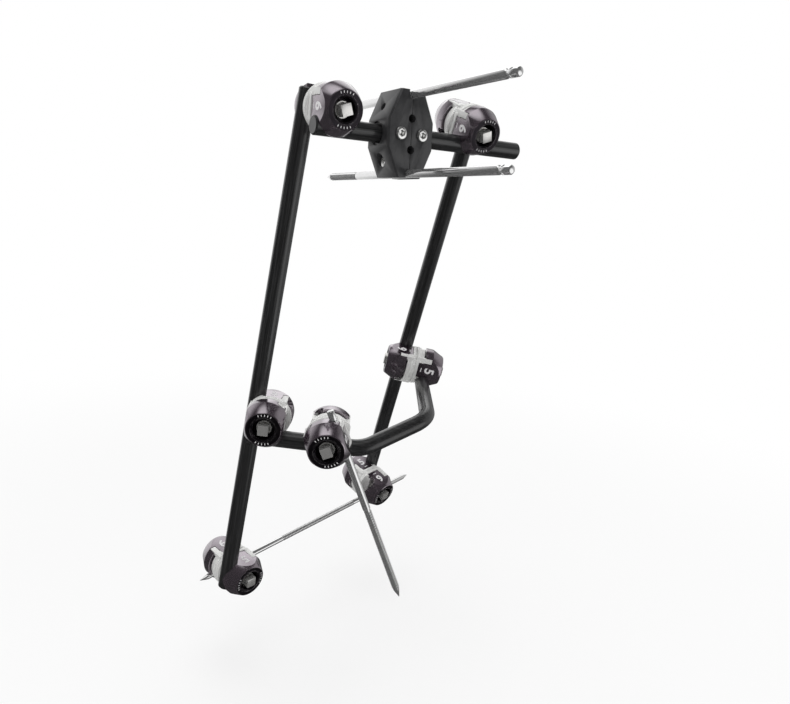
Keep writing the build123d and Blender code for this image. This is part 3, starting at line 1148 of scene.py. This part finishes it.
@dataclass
class PinClamp:
    """Two-part block on the tibial pins, with its cross bolts and rod screws."""

    palette: Palette
    layout: Layout
    front: float = -14.0
    back: float = 9.5
    half_w: float = 16.0
    tip_w: float = 8.4
    shoulder: float = 8.0
    half_h: float = 25.2
    seam: float = 0.4
    chamfer: float = 1.2
    rod_d: float = 11.0
    pin_d: float = 5.0
    fit: float = 0.05
    spare_z: float = 9.0
    spare_d: float = 5.0
    cross: tuple[float, float] = (-1.0, 15.4)
    cross_d: float = 4.4
    cross_head: tuple[float, float] = (8.0, 4.57)
    cross_seat: float = 6.4
    cross_len: float = 22.0
    screw_x: float = 7.5
    screw_d: float = 6.2
    screw_depth: float = 9.2
    screw_head: tuple[float, float] = (7.5, 1.3)
    hex_af: float = 3.2
    hex_depth: float = 2.2
    entry_d: float = 14.0
    entry_depth: float = 1.2
    tool_len: float = 120.0
    seat: float = 0.03

    def half(self, side: int) -> bpy.types.Object:
        """Model one half of the block.

        Args:
            side: 1 for the half at +X, -1 for the other.

        Returns:
            The half.
        """
        middle, depth, reach = (self.front + self.back) / 2, self.back - self.front, self.tool_len
        inner, pin_z = self.seam / 2, self.layout.pin_z
        block = Bench.block("half", (side * (inner + self.half_w) / 2, middle, 0),
                            (self.half_w - inner, depth, 2 * self.half_h))
        rise, run = self.half_h - self.shoulder, self.half_w - self.tip_w
        for end in (-1, 1):
            Bench.slice(block, (side * self.half_w, 0, end * self.shoulder), (side * rise, 0, end * run))
            Bench.slice(block, (side * (self.half_w - self.chamfer), self.front, end * self.shoulder),
                        (side * rise, -rise, end * run))
        Bench.slice(block, (side * (self.half_w - self.chamfer), self.front, 0), (side, -1, 0))
        cuts = [((0, 0, 0), (1, 0, 0), self.rod_d + 2 * self.fit, reach)]
        cuts += [((0, 0, z), (0, 1, 0), self.pin_d + 2 * self.fit, reach) for z in (pin_z, -pin_z)]
        cuts += [((0, 0, z), (0, 1, 0), self.spare_d, reach) for z in (self.spare_z, -self.spare_z)]
        cuts += [((side * self.half_w, 0, 0), (1, 0, 0), self.entry_d, 2 * self.entry_depth),
                 ((side * self.screw_x, self.front, 0), (0, 1, 0), self.screw_d + 2 * self.fit,
                  2 * self.screw_depth)]
        for end in (-1, 1):
            y, z = self.cross[0], end * self.cross[1]
            cuts.append(((0, y, z), (1, 0, 0), self.cross_d + 2 * self.fit, reach))
            if end == side:
                cuts.append(((side * (self.cross_seat + self.half_w / 2), y, z), (1, 0, 0),
                             self.cross_head[0] + 2 * self.fit, self.half_w))
        for at, axis, across, length in cuts:
            Bench.combine(block, Bench.rod("cut", at, axis, length, across / 2, 48), Blend.CUT)
        for end in (-1, 1):
            gap = Bench.block("gap", (0, 0, end * (pin_z + self.pin_d)),
                              (self.pin_d + 2 * self.fit, reach, 2 * self.pin_d))
            Bench.combine(block, gap, Blend.CUT)
        Bench.dress(block, self.palette.block, self.palette.block_edge_highlight)
        # The rounded edges get the lighter edge finish in slot 1, a painted highlight along them.
        Bench.soften(block, 0.3, 25.0, 2, slot=1)
        return block

    def fastener(self, head: tuple[float, float], seat: float, shank_d: float, length: float,
                 edge: float) -> bpy.types.Object:
        """Model a socket screw with its seat at z 0 and its head at +Z.

        Args:
            head: Diameter and height of the head.
            seat: Height of the head's underside over the seat.
            shank_d: Diameter of the shank.
            length: Length of the shank below the seat.
            edge: Rounding of the head's edge.

        Returns:
            The screw.
        """
        r, s, top = head[0] / 2, shank_d / 2, head[1]
        screw = Bench.lathe("screw", [
            (s - 1.2, -length), (s - 0.5, -length + 0.25), (s, -length + 0.9), (s, seat), (r, seat),
            (r, top - edge), (r - edge * 0.3, top - edge * 0.3), (r - edge, top)], 64)
        Bench.clear()
        bpy.ops.mesh.primitive_cylinder_add(vertices=6, radius=self.hex_af / math.sqrt(3) * MM,
                                            depth=2 * self.hex_depth * MM, location=(0, 0, top * MM))
        socket = bpy.context.object
        bpy.ops.object.transform_apply(location=True, rotation=True, scale=True)
        Bench.combine(screw, socket, Blend.CUT)
        Bench.soften(screw, 0.12, 40.0)
        Bench.dress(screw, self.palette.screw)
        return screw

    def build(self) -> None:
        """Make both halves and the four screws."""
        place = self.layout.matrix(Vector((0, 0, 0)), Vector((1, 0, 0)), Vector((0, 0, 1)))
        for label, side in (("left", -1), ("right", 1)):
            block = self.half(side)
            block.name = "tibial_clamp_" + label + "_shape"
            Bench.place(block, place)
            Bench.finish(block, "pin_clamp", Slot.BLOCK, "tibial_clamp_" + label)
        bolt = self.fastener(self.cross_head, self.seat, self.cross_d,
                             self.cross_len - self.cross_head[1], 0.5)
        screw = self.fastener(self.screw_head, self.seat, self.screw_d,
                              -self.front - self.rod_d / 2 - self.fit, 0.7)
        for label, side in (("upper", 1), ("lower", -1)):
            piece = Bench.copy(bolt, "cross_bolt_" + label + "_shape")
            at = Vector((side * self.cross_seat, self.cross[0], side * self.cross[1]))
            Bench.place(piece, self.layout.matrix(at, Vector((0, 0, 1)), Vector((side, 0, 0))))
            Bench.finish(piece, "cross_bolt_" + label + "_turning", Slot.SCREW, "cross_bolt_" + label)
        for label, side in (("left", -1), ("right", 1)):
            piece = Bench.copy(screw, "rod_screw_" + label + "_shape")
            at = Vector((side * self.screw_x, self.front, 0))
            Bench.place(piece, self.layout.matrix(at, Vector((1, 0, 0)), Vector((0, -1, 0))))
            Bench.finish(piece, "rod_screw_" + label + "_turning", Slot.SCREW, "rod_screw_" + label)
        for pattern in (bolt, screw):
            bpy.data.objects.remove(pattern, do_unlink=True)


@dataclass(frozen=True)
class ThreadForm:
    """Closed helical ridge on a round core."""

    root: float
    crest: float
    pitch: float
    steps: int = 24
    foot: float = 0.96
    land: float = 0.16

    def make(self, low: float, high: float) -> bpy.types.Object:
        """Model the ridge.

        Args:
            low: Lower end in millimetres.
            high: Upper end in millimetres.

        Returns:
            The ridge.
        """
        p, middle = self.pitch, (self.root + self.crest) / 2
        Bench.clear()
        bpy.ops.mesh.primitive_plane_add(size=p * MM, location=(middle * MM, 0, (low + p / 2) * MM),
                                         rotation=(math.pi / 2, 0, 0))
        ridge = bpy.context.object
        bpy.ops.object.transform_apply(location=True, rotation=True, scale=True)
        centre = (middle * MM, 0, (low + p / 2) * MM)
        wide = (self.crest - self.root) / p
        Bench.edit(ridge)
        bpy.ops.transform.resize(value=(wide, 1, self.foot), center_override=centre)
        Bench.edit(ridge, lambda co: co.x > middle)
        bpy.ops.transform.resize(value=(1, 1, self.land / self.foot), center_override=centre)
        bpy.ops.mesh.select_all(action="SELECT")
        bpy.ops.mesh.delete(type="ONLY_FACE")
        bpy.ops.object.mode_set(mode="OBJECT")
        Bench.coil(ridge, p, max(1, int((high - low) / p) - 1), self.steps)
        bpy.ops.object.shade_smooth_by_angle(angle=math.radians(30))
        return ridge


@dataclass
class HalfPin:
    """Half pin with a driving end, a helical thread and a trocar tip."""

    name: str
    body: str
    place: Matrix
    axis: Point
    length: float
    thread: float
    diameter: float = 5.0
    pitch: float = 1.75
    cut: float = 0.45
    tip: float = 6.0
    head: float = 9.0
    neck_d: float = 3.6
    flat: float = 6.0

    def build(self) -> None:
        """Model the pin and let it stand for its CAD node."""
        r, end = self.diameter / 2, self.length - self.tip
        root, start, neck = r - self.cut, end - self.thread, self.neck_d / 2
        shaft = Bench.lathe("pin", [
            (r - 1.0, 0), (r - 0.35, 0.3), (r, 1.0), (r, self.head - 2.6), (neck, self.head - 1.8),
            (neck, self.head - 0.4), (r, self.head + 0.4), (r, start), (root, start + 0.5),
            (root, end), (0.25, self.length),
        ], 48)
        for k in range(3):
            flat = Bench.block("flat", (r - 0.4 + 5, 0, self.flat / 2 - 0.5), (10, 10, self.flat))
            Bench.place(flat, Matrix.Rotation(math.tau * k / 3, 4, "Z"))
            Bench.combine(shaft, flat, Blend.CUT)
        Bench.soften(shaft, 0.12, 30.0)
        thread = ThreadForm(root - 0.02, r, self.pitch).make(start + 0.6, end)
        pin = Bench.merge(self.name + "_shape", [shaft, thread])
        Bench.dress(pin, DrawnFinish(self.name + "_steel", self.axis).make())
        Bench.place(pin, self.place)
        Bench.finish(pin, self.body, Slot.PIN, self.name)


@dataclass
class HeelPin:
    """Smooth wire with a raised thread in its middle and a point at each end."""

    layout: Layout
    length: float = 218.0
    left: float = -14.6
    diameter: float = 4.0
    thread_d: float = 4.4
    thread: tuple[float, float] = (58.0, 135.0)
    pitch: float = 1.4
    cut: float = 0.12
    tip: float = 6.0

    def build(self) -> None:
        """Model the pin and let it stand for its CAD node."""
        r, end = self.diameter / 2, self.length
        first, last = (q - self.left for q in self.thread)
        core = r - self.cut
        shaft = Bench.lathe("pin", [
            (0.2, 0), (r, self.tip), (r, first), (core, first + 0.6), (core, last - 0.6), (r, last),
            (r, end - self.tip), (0.2, end)], 40)
        Bench.soften(shaft, 0.05, 30.0)
        thread = ThreadForm(core - 0.02, self.thread_d / 2, self.pitch).make(first, last)
        pin = Bench.merge("heel_pin_shape", [shaft, thread])
        axis = tuple(self.layout.lines["heel"].direction)
        Bench.dress(pin, DrawnFinish("heel_pin_steel", axis).make())
        Bench.place(pin, self.layout.on_line("heel", self.left))
        Bench.finish(pin, "heel_wire", Slot.PIN, "heel_pin")


@dataclass
class KeptNodes:
    """CAD nodes whose shape stays: the rods and the studs."""

    palette: Palette
    layout: Layout

    def dress(self) -> None:
        """Give every kept node its finish."""
        rods = {"top_rod": "top", "left_rod": "left", "right_rod": "right", "bent_rod": "bent_left"}
        for node, line in rods.items():
            axis = tuple(self.layout.lines[line].direction)
            self.paint(node, CarbonFinish("carbon_" + node, axis).make())
        for node in ("frame_studs", "foot_stud"):
            self.paint(node, self.palette.drive)

    @staticmethod
    def paint(node: str, material: bpy.types.Material) -> None:
        """Put one material in all slots of a node.

        Args:
            node: Name of the CAD node.
            material: The material.
        """
        obj = frame["nodes"][node]
        if not obj.material_slots:
            obj.data.materials.append(material)
        for slot in obj.material_slots:
            slot.material = material
        LOG.info("node %s", node)


@dataclass(frozen=True)
class Card:
    """Soft bright patch of the room, with its direction, inner and outer half angle and level."""

    toward: Point
    inner: float
    outer: float
    level: float


@dataclass
class Studio:
    """Pale floor and backdrop, soft lamps and the camera."""

    softbox: Card = Card((-0.2, 0.0, 1.0), 12, 32, 1.2)
    back_wall: Card = Card((0.0, 1.0, 0.2), 20, 50, 0.9)
    back_card: Card = Card((0.5, 0.7, 0.7), 10, 25, 0.9)
    right_wall: Card = Card((1.0, 0.0, 0.2), 20, 50, 0.4)
    reflector: Card = Card((0.6, -0.8, -0.2), 15, 30, 1.0)
    room: float = 0.06
    ambient: float = 0.78
    focal_px: float = 658.2
    image_w: float = 790.0
    sensor: float = 36.0
    eye: Point = (-226.3, -413.6, -24.9)
    right: Point = (0.8429, -0.5355, 0.0530)
    up: Point = (0.0653, 0.1995, 0.9777)
    floor_z: float = -0.36
    floor_size: float = 6.0
    floor_front: float = -3.0

    def camera(self) -> None:
        """Set the camera where the photograph was taken from."""
        data = bpy.data.cameras.new("camera")
        data.sensor_width, data.lens = self.sensor, self.focal_px / self.image_w * self.sensor
        data.clip_start, data.clip_end = 0.01, 20.0
        cam = bpy.data.objects.new("camera", data)
        bpy.context.collection.objects.link(cam)
        x = Vector(self.right).normalized()
        z = x.cross(Vector(self.up)).normalized()
        turn = Matrix((x, z.cross(x), z)).transposed().to_4x4()
        cam.matrix_world = Matrix.Translation(Vector(self.eye) * MM) @ turn
        bpy.context.scene.camera = cam

    def lamp(self, name: str, at: Point, size: float, watts: float) -> None:
        """Square area lamp that faces the middle of the fixator.

        Args:
            name: Name of the lamp.
            at: Place in metres.
            size: Edge in metres.
            watts: Power.
        """
        data = bpy.data.lights.new(name, "AREA")
        data.size, data.energy = size, watts
        lamp = bpy.data.objects.new(name, data)
        lamp.location, lamp.visible_glossy = at, False
        lamp.rotation_euler = (Vector((0, 0, -0.1)) - Vector(at)).to_track_quat("-Z", "Y").to_euler()
        bpy.context.collection.objects.link(lamp)

    def world(self) -> None:
        """White to the camera, even to matt surfaces, a dark room with pale cards to shiny ones."""
        world = bpy.data.worlds.new("room")
        bpy.context.scene.world = world
        world.use_nodes = True
        tree = world.node_tree
        tree.nodes.remove(tree.nodes["Background"])
        coord = tree.nodes.new("ShaderNodeTexCoord")
        ray = tree.nodes.new("ShaderNodeLightPath")
        level = None
        for card in (self.softbox, self.back_wall, self.back_card, self.right_wall, self.reflector):
            dot = tree.nodes.new("ShaderNodeVectorMath")
            dot.operation = "DOT_PRODUCT"
            dot.inputs[1].default_value = Vector(card.toward).normalized()
            tree.links.new(coord.outputs["Generated"], dot.inputs[0])
            soft = tree.nodes.new("ShaderNodeMapRange")
            soft.interpolation_type = "SMOOTHSTEP"
            soft.inputs["From Min"].default_value = math.cos(math.radians(card.outer))
            soft.inputs["From Max"].default_value = math.cos(math.radians(card.inner))
            soft.inputs["To Max"].default_value = card.level
            tree.links.new(dot.outputs["Value"], soft.inputs["Value"])
            add = tree.nodes.new("ShaderNodeMath")
            add.operation = "ADD"
            add.inputs[1].default_value = self.room
            if level is not None:
                tree.links.new(level, add.inputs[1])
            tree.links.new(soft.outputs["Result"], add.inputs[0])
            level = add.outputs[0]
        shade = None
        for strength, factor in ((self.ambient, None), (level, "Is Glossy Ray"), (1.0, "Is Camera Ray")):
            back = tree.nodes.new("ShaderNodeBackground")
            back.inputs["Color"].default_value = (1, 1, 1, 1)
            if isinstance(strength, float):
                back.inputs["Strength"].default_value = strength
            else:
                tree.links.new(strength, back.inputs["Strength"])
            if factor is None:
                shade = back.outputs[0]
                continue
            mix = tree.nodes.new("ShaderNodeMixShader")
            tree.links.new(ray.outputs[factor], mix.inputs[0])
            tree.links.new(shade, mix.inputs[1])
            tree.links.new(back.outputs[0], mix.inputs[2])
            shade = mix.outputs[0]
        tree.links.new(shade, tree.nodes["World Output"].inputs["Surface"])

    def near(self, paper: Shader, at: Point, inner: float, outer: float, levels: tuple[float, float]) -> Wire:
        """Value that changes with the distance from a point of the floor.

        Args:
            paper: The floor's material.
            at: The point in metres.
            inner: Distance of the first level.
            outer: Distance of the second level.
            levels: The two levels.

        Returns:
            The value.
        """
        far = paper.node("ShaderNodeVectorMath", {"operation": "DISTANCE"}, {0: paper.place, 1: at}, "Value")
        return paper.node("ShaderNodeMapRange", {"interpolation_type": "SMOOTHSTEP"},
                          {"Value": far, "From Min": inner, "From Max": outer,
                           "To Min": levels[0], "To Max": levels[1]})

    def floor(self) -> None:
        """Sheet of white paper under the fixator, fading into the white behind it."""
        Bench.clear()
        bpy.ops.mesh.primitive_plane_add(size=self.floor_size,
                                         location=(0, self.floor_front + self.floor_size / 2, self.floor_z))
        floor = bpy.context.object
        floor.name = "floor"
        bpy.ops.object.transform_apply(location=True, rotation=True, scale=True)
        paper = Shader("floor_paper")
        cloud = paper.noise(3.0, 2.0)
        paper.set(Base_Color=paper.mix(cloud, (0.86, 0.86, 0.86), (0.89, 0.89, 0.89)), Roughness=0.8)
        fade = self.near(paper, (0.0, 0.1, self.floor_z), 0.1, 0.9, (0.6, 1.0))
        seen = paper.node("ShaderNodeLightPath", {}, {}, "Is Camera Ray")
        mirrored = paper.node("ShaderNodeLightPath", {}, {}, "Is Glossy Ray")
        glow = paper.node("ShaderNodeEmission", {}, {"Color": (1, 1, 1, 1), "Strength": 1.0})
        clear = paper.node("ShaderNodeBsdfTransparent", {}, {"Color": (1, 1, 1, 1)})
        both = paper.node("ShaderNodeMixShader", {}, {0: fade * seen, 1: paper.surface.outputs[0], 2: glow})
        both = paper.node("ShaderNodeMixShader", {}, {0: mirrored, 1: both, 2: clear})
        paper.join(both, paper.tree.nodes["Material Output"].inputs["Surface"])
        floor.data.materials.append(paper.material)

    def build(self) -> None:
        """Set up the whole studio."""
        self.world()
        self.floor()
        self.lamp("top", (-0.06, -0.06, 1.1), 0.8, 5.5)
        self.lamp("key", (-0.55, -0.6, 0.95), 0.5, 1.3)
        self.camera()
        bpy.context.scene.view_settings.view_transform = "Standard"


def main() -> None:
    """Build the scene."""
    logging.basicConfig(level=logging.INFO, format="%(message)s")
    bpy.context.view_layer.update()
    palette, layout = Palette(), Layout()
    KeptNodes(palette, layout).dress()
    ClampSet(palette, layout).build()
    PinClamp(palette, layout).build()
    forward = Vector((0, 1, 0))
    for level, z in (("upper", layout.pin_z), ("lower", -layout.pin_z)):
        place = layout.matrix(Vector((0, layout.tibial_pin_y, z)), Vector((1, 0, 0)), forward)
        HalfPin("tibial_pin_" + level, "tibial_pins", place, tuple(forward), layout.tibial_pin_len,
                layout.tibial_thread).build()
    HalfPin("foot_pin", "foot_half_pin", layout.on_line("foot", -layout.foot_pin_above),
            tuple(layout.lines["foot"].direction), layout.foot_pin_len, layout.foot_thread).build()
    HeelPin(layout).build()
    Studio().build()


if __name__ == "__main__":
    main()
